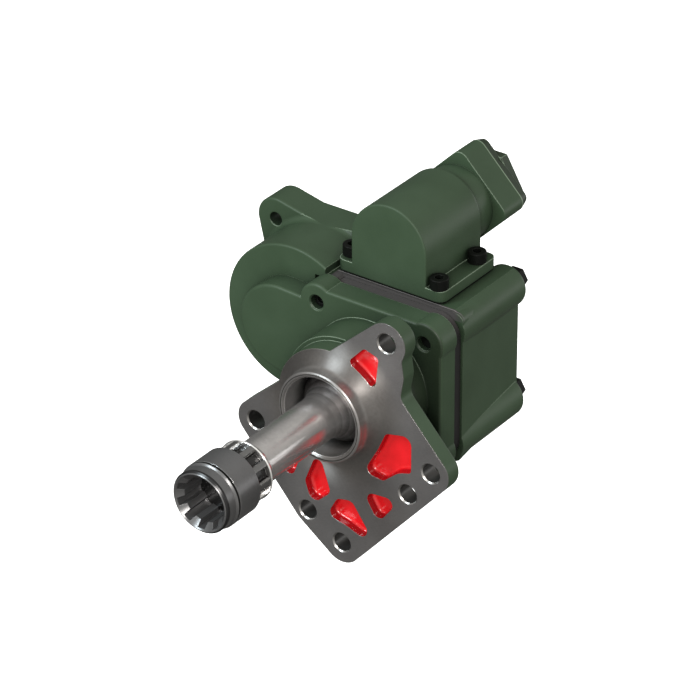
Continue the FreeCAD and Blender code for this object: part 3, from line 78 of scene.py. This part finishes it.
class Graph:
    """Short calls for building a material's nodes."""

    def __init__(self, name):
        self.mat = bpy.data.materials.new(name)
        self.mat.use_nodes = True
        self.tree = self.mat.node_tree
        self.tree.nodes.clear()
        self.out = self.add("ShaderNodeOutputMaterial")
        self.coord = self.add("ShaderNodeTexCoord").outputs["Object"]

    def add(self, kind, **settings):
        node = self.tree.nodes.new(kind)
        for key, value in settings.items():
            setattr(node, key, value)
        return node

    def put(self, value, socket):
        """Links a socket, or sets a number, vector or colour."""
        if isinstance(value, bpy.types.NodeSocket):
            self.tree.links.new(value, socket)
        elif socket.type == "RGBA":
            socket.default_value = (*value, 1.0)
        else:
            socket.default_value = value

    def math(self, operation, a, b):
        node = self.add("ShaderNodeMath", operation=operation)
        self.put(a, node.inputs[0])
        self.put(b, node.inputs[1])
        return node.outputs[0]

    def above(self, value, limit):
        return self.math("GREATER_THAN", value, limit)

    def below(self, value, limit):
        return self.math("LESS_THAN", value, limit)

    def all_of(self, first, *others):
        """Product of masks, so 1 only where all of them are."""
        product = first
        for mask in others:
            product = self.math("MULTIPLY", product, mask)
        return product

    def between(self, value, low, high):
        return self.all_of(self.above(value, low), self.below(value, high))

    def vector(self, operation, a, b=(0.0, 0.0, 0.0)):
        node = self.add("ShaderNodeVectorMath", operation=operation)
        self.put(a, node.inputs[0])
        self.put(b, node.inputs[1])
        return node.outputs["Value"] if operation in ("LENGTH", "DOT_PRODUCT") else node.outputs[0]

    def split(self, vector):
        node = self.add("ShaderNodeSeparateXYZ")
        self.put(vector, node.inputs[0])
        return node.outputs

    def place(self):
        return self.split(self.coord)

    def join(self, x, y, z):
        node = self.add("ShaderNodeCombineXYZ")
        for value, socket in zip((x, y, z), node.inputs):
            self.put(value, socket)
        return node.outputs[0]

    def from_axis(self):
        """Distance from the input shaft's axis."""
        x, _, z = self.place()
        return self.vector("LENGTH", self.join(x, 0.0, z))

    def surface(self):
        """The normal without bevel or bump."""
        return self.add("ShaderNodeNewGeometry").outputs["Normal"]

    def noise(self, scale, detail, rough, stretch=(1.0, 1.0, 1.0)):
        node = self.add("ShaderNodeTexNoise")
        self.put(self.vector("MULTIPLY", self.coord, stretch), node.inputs["Vector"])
        self.put(scale, node.inputs["Scale"])
        self.put(detail, node.inputs["Detail"])
        self.put(rough, node.inputs["Roughness"])
        return node.outputs["Fac"]

    def ramp(self, value, low, high):
        """0 at low and 1 at high, even between them and flat beyond. Low may be the larger."""
        node = self.add("ShaderNodeMapRange", clamp=True)
        self.put(value, node.inputs["Value"])
        self.put(low, node.inputs["From Min"])
        self.put(high, node.inputs["From Max"])
        return node.outputs["Result"]

    def scaled(self, value, low, high):
        """A value from 0 to 1, taken to the range from low to high."""
        node = self.add("ShaderNodeMapRange", clamp=True)
        self.put(value, node.inputs["Value"])
        self.put(low, node.inputs["To Min"])
        self.put(high, node.inputs["To Max"])
        return node.outputs["Result"]

    def mix(self, factor, a, b):
        node = self.add("ShaderNodeMix", data_type="RGBA")
        self.put(factor, node.inputs[0])
        self.put(a, node.inputs[6])
        self.put(b, node.inputs[7])
        return node.outputs[2]

    def bevel(self, radius):
        node = self.add("ShaderNodeBevel", samples=6)
        self.put(radius, node.inputs["Radius"])
        return node.outputs["Normal"]

    def edges(self, rounded, high=0.16):
        """1 along edges, from how far the rounded normal leans away from the flat one."""
        lean = self.math("SUBTRACT", 1.0, self.vector("DOT_PRODUCT", rounded, self.surface()))
        return self.ramp(lean, 0.02, high)

    def lit_upper_edges(self, rounded, high=0.16):
        """The same for edges that look up, where a highlight is painted as if light from above caught them.
        """
        upward = self.ramp(self.split(rounded)[2], 0.15, 0.6)
        return self.all_of(self.edges(rounded, high), upward)

    def across_grooves(self):
        """Direction in the surface that crosses grooves turned round the Y axis."""
        x, _, z = self.place()
        to_world = self.add("ShaderNodeVectorTransform", vector_type="VECTOR", convert_from="OBJECT",
                            convert_to="WORLD")
        self.put(self.join(self.math("MULTIPLY", z, -1.0), 0.0, x), to_world.inputs[0])
        return self.vector("NORMALIZE", self.vector("CROSS_PRODUCT", self.surface(), to_world.outputs[0]))

    def recess(self, reach, low, high):
        """0 deep in corners and under overhangs, 1 on open faces; the materials paint shade by it."""
        node = self.add("ShaderNodeAmbientOcclusion", samples=8)
        self.put(reach, node.inputs["Distance"])
        return self.ramp(node.outputs["AO"], low, high)

    def bump(self, height, strength, distance, normal=None):
        node = self.add("ShaderNodeBump")
        self.put(strength, node.inputs["Strength"])
        self.put(distance, node.inputs["Distance"])
        self.put(height, node.inputs["Height"])
        if normal is not None:
            self.put(normal, node.inputs["Normal"])
        return node.outputs["Normal"]

    def shader(self, color, rough, metallic=0.0, normal=None, tangent=None, **fixed):
        node = self.add("ShaderNodeBsdfPrincipled")
        self.put(color, node.inputs["Base Color"])
        self.put(rough, node.inputs["Roughness"])
        self.put(metallic, node.inputs["Metallic"])
        if normal is not None:
            self.put(normal, node.inputs["Normal"])
        if tangent is not None:
            self.put(tangent, node.inputs["Tangent"])
        for key, value in fixed.items():
            self.put(value, node.inputs[key.replace("_", " ")])
        return node.outputs[0]

    def blend(self, factor, a, b):
        node = self.add("ShaderNodeMixShader")
        self.put(factor, node.inputs[0])
        self.put(a, node.inputs[1])
        self.put(b, node.inputs[2])
        return node.outputs[0]

    def finish(self, shader):
        self.put(shader, self.out.inputs["Surface"])
        return self.mat


def green_shader(g, dark=None, reach=0.065):
    """Satin green paint on a casting: faint cloudiness, fine grain, and a painted highlight along its upper
    edges.

    The dark mask, where given, is painted shadow that deepens the tone. Reach is how far the painted shade
    in its recesses spreads.
    """
    rounded = g.bevel(PAINT_EDGE)
    cloud = g.noise(22.0, 4.0, 0.55)
    grain = g.noise(900.0, 2.0, 0.6)
    color = g.mix(g.ramp(cloud, 0.3, 0.7), (0.036, 0.064, 0.034), (0.047, 0.080, 0.045))
    # painted shadow where the dark mask is given
    if dark is not None:
        color = g.mix(dark, color, (0.026, 0.042, 0.023))
    # painted shade in corners and recesses
    color = g.mix(g.recess(reach, 0.12, 0.78), (0.010, 0.017, 0.010), color)
    # painted highlight along the upper edges
    color = g.mix(g.lit_upper_edges(rounded, 0.11), color, (0.26, 0.34, 0.25))
    rough = g.scaled(g.ramp(cloud, 0.25, 0.75), 0.40, 0.50)
    normal = g.bump(grain, 0.10, 0.0004, rounded)
    return g.shader(color, rough, 0.0, normal, Specular_IOR_Level=0.33)


def steel_shader(g, base, rough, stretch=(1.0, 1.0, 1.0), metallic=1.0, tint=(), turned=0.0, deep=0.0,
                 glint_tone=0.6):
    """Machined steel with fine tool marks and a painted highlight on its edges.

    Each tint is a mask and the colour that it brings. Turned steel stretches its highlights across
    the grooves that the lathe left round the Y axis. Deep is the reach of the painted shade in its
    recesses.
    Glint tone is how far its edges turn bright, as a painted highlight.
    """
    rounded = g.bevel(STEEL_EDGE)
    marks = g.noise(420.0, 3.0, 0.65, stretch)
    cloud = g.noise(28.0, 3.0, 0.5)
    patches = g.math("ADD", g.math("MULTIPLY", marks, 0.4), g.math("MULTIPLY", cloud, 0.6))
    dark = tuple(c * 0.82 for c in base)
    pale = tuple(min(1.0, c * 1.16) for c in base)
    bright = tuple(min(1.0, c * 2.6 + 0.1) for c in base)
    edge_glint = g.edges(rounded)
    color = g.mix(g.ramp(patches, 0.35, 0.65), dark, pale)
    # painted highlight along the edges
    color = g.mix(g.scaled(edge_glint, 0.0, glint_tone), color, bright)
    for mask, shade in tint:
        color = g.mix(mask, color, shade)
    # painted shade in recesses
    if deep:
        color = g.mix(g.recess(deep, 0.10, 0.60), (0.012, 0.012, 0.012), color)
    roughness = g.math("MULTIPLY", g.scaled(marks, *rough), g.scaled(edge_glint, 1.0, 0.55))
    if turned:
        return g.shader(color, roughness, metallic, rounded, g.across_grooves(), Anisotropic=turned)
    return g.shader(color, roughness, metallic, g.bump(marks, 0.06, 0.0003, rounded))


def red_shader(g):
    """Thick glossy red paint, with painted shade on the pockets' walls, so they are darker than their
    floors.
    """
    rounded = g.bevel(POCKET_EDGE)
    flow = g.noise(120.0, 2.0, 0.5)
    paint = g.mix(g.ramp(flow, 0.3, 0.7), (0.72, 0.006, 0.010), (0.82, 0.009, 0.015))
    forward = g.math("MULTIPLY", g.split(g.surface())[1], -1.0)
    # painted shade on faces that turn away from the front, the pockets' walls
    color = g.mix(g.ramp(forward, 0.3, 0.85), (0.30, 0.003, 0.006), paint)
    normal = g.bump(flow, 0.12, 0.0010, rounded)
    return g.shader(color, 0.22, 0.0, normal, Coat_Weight=0.7, Coat_Roughness=0.04, Specular_IOR_Level=0.40)


def black_shader(g, rough=(0.34, 0.46)):
    """Blackened steel, with a painted highlight that greys its upper edges."""
    rounded = g.bevel(BLACK_EDGE)
    cloud = g.noise(160.0, 3.0, 0.6)
    color = g.mix(cloud, (0.0032, 0.0038, 0.0032), (0.0052, 0.0060, 0.0052))
    # painted highlight on the upper edges
    color = g.mix(g.scaled(g.lit_upper_edges(rounded), 0.0, 0.5), color, (0.04, 0.045, 0.04))
    normal = g.bump(cloud, 0.08, 0.0003, rounded)
    return g.shader(color, g.scaled(cloud, *rough), 0.0, normal, Specular_IOR_Level=0.10)


def gasket_shader(g):
    """Dark gasket paper, duller than the blackened steel."""
    return black_shader(g, (0.7, 0.85))


def plate_shader(g):
    """Black plate; painted light makes its upper faces a dull grey, and a painted highlight makes its edges
    a brown grey.
    """
    rounded = g.bevel(BLACK_EDGE)
    cloud = g.noise(120.0, 3.0, 0.6, (1.0, 4.0, 1.0))
    upward = g.ramp(g.split(g.surface())[2], 0.2, 0.9)
    color = g.mix(cloud, (0.010, 0.0095, 0.010), (0.017, 0.016, 0.017))
    # painted light: faces that look up turn grey
    color = g.mix(upward, color, (0.062, 0.058, 0.058))
    # painted highlight along the edges
    color = g.mix(g.scaled(g.edges(rounded), 0.0, 0.6), color, (0.22, 0.20, 0.19))
    return g.shader(color, 0.5, 0.0, g.bump(cloud, 0.08, 0.0003, rounded), Specular_IOR_Level=0.35)


def rubber_shader(g):
    """Dull black seal rubber."""
    cloud = g.noise(500.0, 3.0, 0.6)
    color = g.mix(cloud, (0.010, 0.010, 0.010), (0.02, 0.02, 0.02))
    return g.shader(color, 0.65, 0.0, g.bump(cloud, 0.15, 0.0004))


def shaft_shader(g):
    """Ground shaft; painted shade between the splines, painted highlights on their flanks and on the
    shoulder.
    """
    away = g.from_axis()
    y = g.place()[1]
    splines = g.between(y, *SPLINES_Y)
    roots = g.all_of(splines, g.below(away, SPLINES_R[0]))
    crests = g.all_of(splines, g.above(away, SPLINES_R[1]))
    flanks = g.all_of(splines, g.between(away, *SPLINES_R))
    shoulder = g.between(y, SPLINES_Y[1], SHOULDER_Y)
    rim = g.all_of(g.between(y, *SEAL_RIM_Y), g.above(away, SEAL_RIM_R))
    # painted shade in the roots, painted highlights on the flanks and the shoulder
    tint = [(roots, (0.060, 0.060, 0.060)), (flanks, (0.90, 0.89, 0.88)), (crests, (0.26, 0.26, 0.26)),
            (shoulder, (0.92, 0.91, 0.90)), (rim, (0.008, 0.008, 0.008))]
    return steel_shader(g, (0.62, 0.60, 0.595), (0.20, 0.26), (1.0, 3.0, 1.0), metallic=0.9, tint=tint,
                        turned=0.6, deep=0.020)


def sleeve_shader(g):
    """Turned sleeve with a darker chamfer at its nose and a socket painted brighter, as painted light."""
    away = g.from_axis()
    chamfer = g.all_of(g.between(g.place()[1], *NOSE_Y), g.above(away, NOSE_R))
    socket = g.below(away, SOCKET_R)
    # painted light in the socket
    tint = [(chamfer, (0.035, 0.035, 0.036)), (socket, (0.17, 0.17, 0.173))]
    return steel_shader(g, (0.155, 0.155, 0.158), (0.26, 0.34), (1.0, 6.0, 1.0), metallic=0.7, tint=tint,
                        turned=0.5)


def bright_shader(g):
    """Ground steel of the parts that hardly show, such as races and gears."""
    return steel_shader(g, (0.42, 0.41, 0.40), (0.24, 0.34))


def aluminium_shader(g):
    """Paler turned metal of the piston."""
    return steel_shader(g, (0.55, 0.55, 0.56), (0.28, 0.36))


def near_any(g, spots):
    """1 within reach of any of the spots, each given by its x, z and reach."""
    x, _, z = g.place()
    flat = g.join(x, 0.0, z)
    inside = 0.0
    for spot_x, spot_z, reach in spots:
        away = g.vector("LENGTH", g.vector("SUBTRACT", flat, (spot_x, 0.0, spot_z)))
        inside = g.math("MAXIMUM", inside, g.below(away, reach))
    return inside


def face_shader(g, from_axis, y):
    """Milled face that turns into the turned flare, collar and bore near the axis; painted light makes the
    bore paler, and the collar has painted shade in its recesses.
    """
    face = steel_shader(g, (0.158, 0.152, 0.151), (0.42, 0.52), (1.0, 0.2, 3.0), metallic=0.55,
                        glint_tone=0.2)
    flare = steel_shader(g, (0.30, 0.284, 0.274), (0.48, 0.54), (1.0, 0.2, 1.0), metallic=0.92, turned=0.95)
    step = g.all_of(g.between(from_axis, *STEP_R), g.below(y, STEP_Y))
    # painted light makes the bore paler
    tint = [(g.below(from_axis, BORE_R), (0.66, 0.64, 0.63)), (step, (0.04, 0.038, 0.037))]
    collar = steel_shader(g, (0.32, 0.308, 0.30), (0.30, 0.36), (1.0, 0.2, 1.0), metallic=0.8, tint=tint,
                          deep=0.010)
    turned = g.blend(g.ramp(from_axis, *reversed(COLLAR_R)), flare, collar)
    return g.blend(g.ramp(from_axis, *reversed(FLARE_R)), face, turned)


def hole_shader(g, near_hole, y, around):
    """Darker walls in the flange's holes, and a painted highlight that makes their chamfer bright."""
    walls = steel_shader(g, (0.085, 0.083, 0.081), (0.30, 0.42), (1.0, 6.0, 1.0), metallic=0.7)
    chamfer = steel_shader(g, (0.45, 0.44, 0.43), (0.25, 0.32))
    metal = g.blend(g.all_of(near_hole, g.above(y, HOLE_WALL_Y)), around, walls)
    # painted highlight on the holes' chamfer
    return g.blend(g.all_of(near_hole, g.between(y, *HOLE_LIP_Y)), metal, chamfer)


def front_casting(g):
    """Green casting whose face, collar and holes are machined, with red pockets and a painted shadow of the
    flange on the box front.
    """
    x, y, _ = g.place()
    from_axis = g.from_axis()
    near_hole = near_any(g, [(*hole, HOLE_REACH) for hole in HOLES])
    metal = hole_shader(g, near_hole, y, face_shader(g, from_axis, y))
    machined = g.math("MAXIMUM", g.below(y, FACE_SKIN_Y), g.all_of(near_hole, g.below(y, FLANGE_BACK_Y)))
    machined = g.math("MAXIMUM", machined, g.below(from_axis, HUB_R))
    # painted shadow that the flange casts on the box front
    corner = g.all_of(g.between(y, *FLANGE_SHADOW_Y), g.ramp(x, *FLANGE_SHADOW_LEFT_X),
                      g.ramp(x, *reversed(FLANGE_SHADOW_RIGHT_X)))
    body = g.blend(machined, green_shader(g, corner), metal)
    pocket = g.all_of(near_any(g, POCKETS), g.between(y, *POCKET_Y), g.above(from_axis, HUB_R),
                      g.math("SUBTRACT", 1.0, near_hole))
    return g.blend(pocket, body, red_shader(g))


def rear_casting(g):
    """Green casting whose machined strip beside the joint is dull grey on top, with a painted highlight
    line along it.
    """
    x, y, z = g.place()
    strip = g.all_of(g.above(z, STRIP_Z), g.below(y, STRIP_BACK_Y), g.above(x, STRIP_LEFT_X),
                     g.ramp(x, *reversed(STRIP_RIGHT_X)))
    # painted highlight line near the back of the strip
    color = g.mix(g.between(y, *STRIP_HIGHLIGHT_Y), (0.056, 0.053, 0.053), (0.20, 0.19, 0.19))
    metal = g.shader(color, 0.5, 0.0, Specular_IOR_Level=0.35)
    return g.blend(strip, green_shader(g), metal)


def cap_casting(g):
    """Green cap with a painted highlight on its rear edge and painted shade on the taper behind it."""
    y = g.place()[1]
    # painted shade on the taper behind the rear edge
    paint = green_shader(g, g.above(y, CAP_HIGHLIGHT_Y[1]), reach=0.015)
    # painted highlight on the rear edge
    return g.blend(g.between(y, *CAP_HIGHLIGHT_Y), paint, g.shader((0.20, 0.27, 0.19), 0.45, 0.0))


def material(name, build):
    """Material from a function that adds its nodes to a graph and returns their shader."""
    g = Graph(name)
    return g.finish(build(g))


MATERIALS = {
    "green": material("green_paint", green_shader),
    "front": material("front_casting", front_casting),
    "rear": material("rear_casting", rear_casting),
    "cap": material("cap_casting", cap_casting),
    "black": material("black_oxide", black_shader),
    "plate": material("black_plate", plate_shader),
    "gasket": material("gasket_paper", gasket_shader),
    "rubber": material("seal_rubber", rubber_shader),
    "shaft": material("ground_shaft", shaft_shader),
    "sleeve": material("turned_sleeve", sleeve_shader),
    "steel": material("bright_steel", bright_shader),
    "aluminium": material("turned_aluminium", aluminium_shader),
}

WEARS = {
    "mounting_housing": "front",
    "gear_housing": "rear",
    "actuator_body": "green",
    "end_cap": "cap",
    "intermediate_plate": "plate",
    "front_gasket": "gasket",
    "rear_gasket": "gasket",
    "actuator_gasket": "gasket",
    "through_bolts": "black",
    "ear_screw": "black",
    "actuator_screws": "black",
    "sleeve_ring": "black",
    "oil_seal": "rubber",
    "cap_seal": "rubber",
    "piston_seal": "rubber",
    "input_shaft": "shaft",
    "coupling_sleeve": "sleeve",
    "piston": "aluminium",
}

for name, obj in nodes.items():
    obj.data.materials.clear()
    obj.data.materials.append(MATERIALS[WEARS.get(name, "steel")])


# The studio: floor, sky, lamps and camera
FLOOR_Z = cad_low.z - 0.16
WASH_HEIGHT = 0.12                  # of the lamp that keeps the floor white
MIDDLE = (0.0, 0.0, 0.0)            # what the lamps point at
SKY_TOWARD = (0.36, -0.48, 0.80)    # the studio is brightest this way
SKY_RISE = (-0.30, 0.75)            # its light rises over this part of the way
SKY_LEVEL = (0.14, 0.80)
SKY_COLOR = (1.0, 0.98, 0.93)

IMAGE_PX = 700.0
FOCAL_PX = 3965.0
SENSOR = 36.0
CAMERA_PLACE = (1.3381, -1.8274, 1.3635)
AZIMUTH = math.radians(35.9)
ELEVATION = math.radians(30.2)
ROLL = math.radians(-0.25)


def lay_floor():
    """Pale floor; it stays out of reflections, so it doesn't wash out the metal and the red."""
    bpy.ops.mesh.primitive_plane_add(size=30.0, location=(0.0, 0.0, FLOOR_Z))
    floor = bpy.context.object
    floor.name = "floor"
    g = Graph("floor_pale")
    floor.data.materials.append(g.finish(g.shader((0.93, 0.93, 0.93), 0.9, 0.0)))
    floor.visible_glossy = False
    floor.visible_diffuse = False


def hang_sky():
    """World light that rises smoothly towards one side of the studio."""
    world = bpy.data.worlds.new("studio")
    bpy.context.scene.world = world
    world.use_nodes = True
    tree = world.node_tree
    way = tree.nodes.new("ShaderNodeVectorMath")
    way.operation = "DOT_PRODUCT"
    way.inputs[1].default_value = SKY_TOWARD
    tree.links.new(tree.nodes.new("ShaderNodeTexCoord").outputs["Generated"], way.inputs[0])
    height = tree.nodes.new("ShaderNodeMapRange")
    height.inputs["From Min"].default_value, height.inputs["From Max"].default_value = SKY_RISE
    height.inputs["To Min"].default_value, height.inputs["To Max"].default_value = SKY_LEVEL
    tree.links.new(way.outputs["Value"], height.inputs["Value"])
    tree.links.new(height.outputs["Result"], tree.nodes["Background"].inputs["Strength"])
    tree.nodes["Background"].inputs["Color"].default_value = (*SKY_COLOR, 1.0)


def lamp(name, place, target, size, power, color=(1.0, 1.0, 1.0)):
    """Soft rectangular lamp that points at its target."""
    data = bpy.data.lights.new(name, "AREA")
    data.shape = "RECTANGLE"
    data.size, data.size_y = size
    data.energy = power
    data.color = color
    obj = bpy.data.objects.new(name, data)
    obj.location = place
    obj.rotation_mode = "QUATERNION"
    obj.rotation_quaternion = (Vector(target) - Vector(place)).to_track_quat("-Z", "Y")
    bpy.context.scene.collection.objects.link(obj)


def set_camera():
    """The photo's view, as fitted to the part's edges and circles."""
    data = bpy.data.cameras.new("camera")
    data.sensor_width = SENSOR
    data.lens = SENSOR * FOCAL_PX / IMAGE_PX
    data.clip_start, data.clip_end = 0.05, 50.0
    camera = bpy.data.objects.new("camera", data)
    bpy.context.scene.collection.objects.link(camera)
    bpy.context.scene.camera = camera
    level = Vector((math.cos(AZIMUTH), math.sin(AZIMUTH), 0.0))
    across = math.cos(ELEVATION)
    back = Vector((math.sin(AZIMUTH) * across, -math.cos(AZIMUTH) * across, math.sin(ELEVATION)))
    upright = back.cross(level)
    right = level * math.cos(ROLL) + upright * math.sin(ROLL)
    up = upright * math.cos(ROLL) - level * math.sin(ROLL)
    turn = Matrix((right, up, back)).transposed().to_4x4()
    camera.matrix_world = Matrix.Translation(CAMERA_PLACE) @ turn


lay_floor()
hang_sky()
bpy.context.scene.view_settings.view_transform = "Standard"
lamp("key", (-0.7, -1.3, 1.2), MIDDLE, (0.6, 0.6), 20.0, (0.84, 0.95, 1.0))
lamp("front", (0.9, -1.5, 0.9), MIDDLE, (0.5, 0.5), 20.0, (1.0, 0.96, 0.92))
lamp("back", (0.9, 1.7, 0.05), MIDDLE, (1.4, 0.6), 5.5)
lamp("floor_wash", (0.0, 0.0, FLOOR_Z + WASH_HEIGHT), (0.0, 0.0, FLOOR_Z), (16.0, 16.0), 920.0)
set_camera()
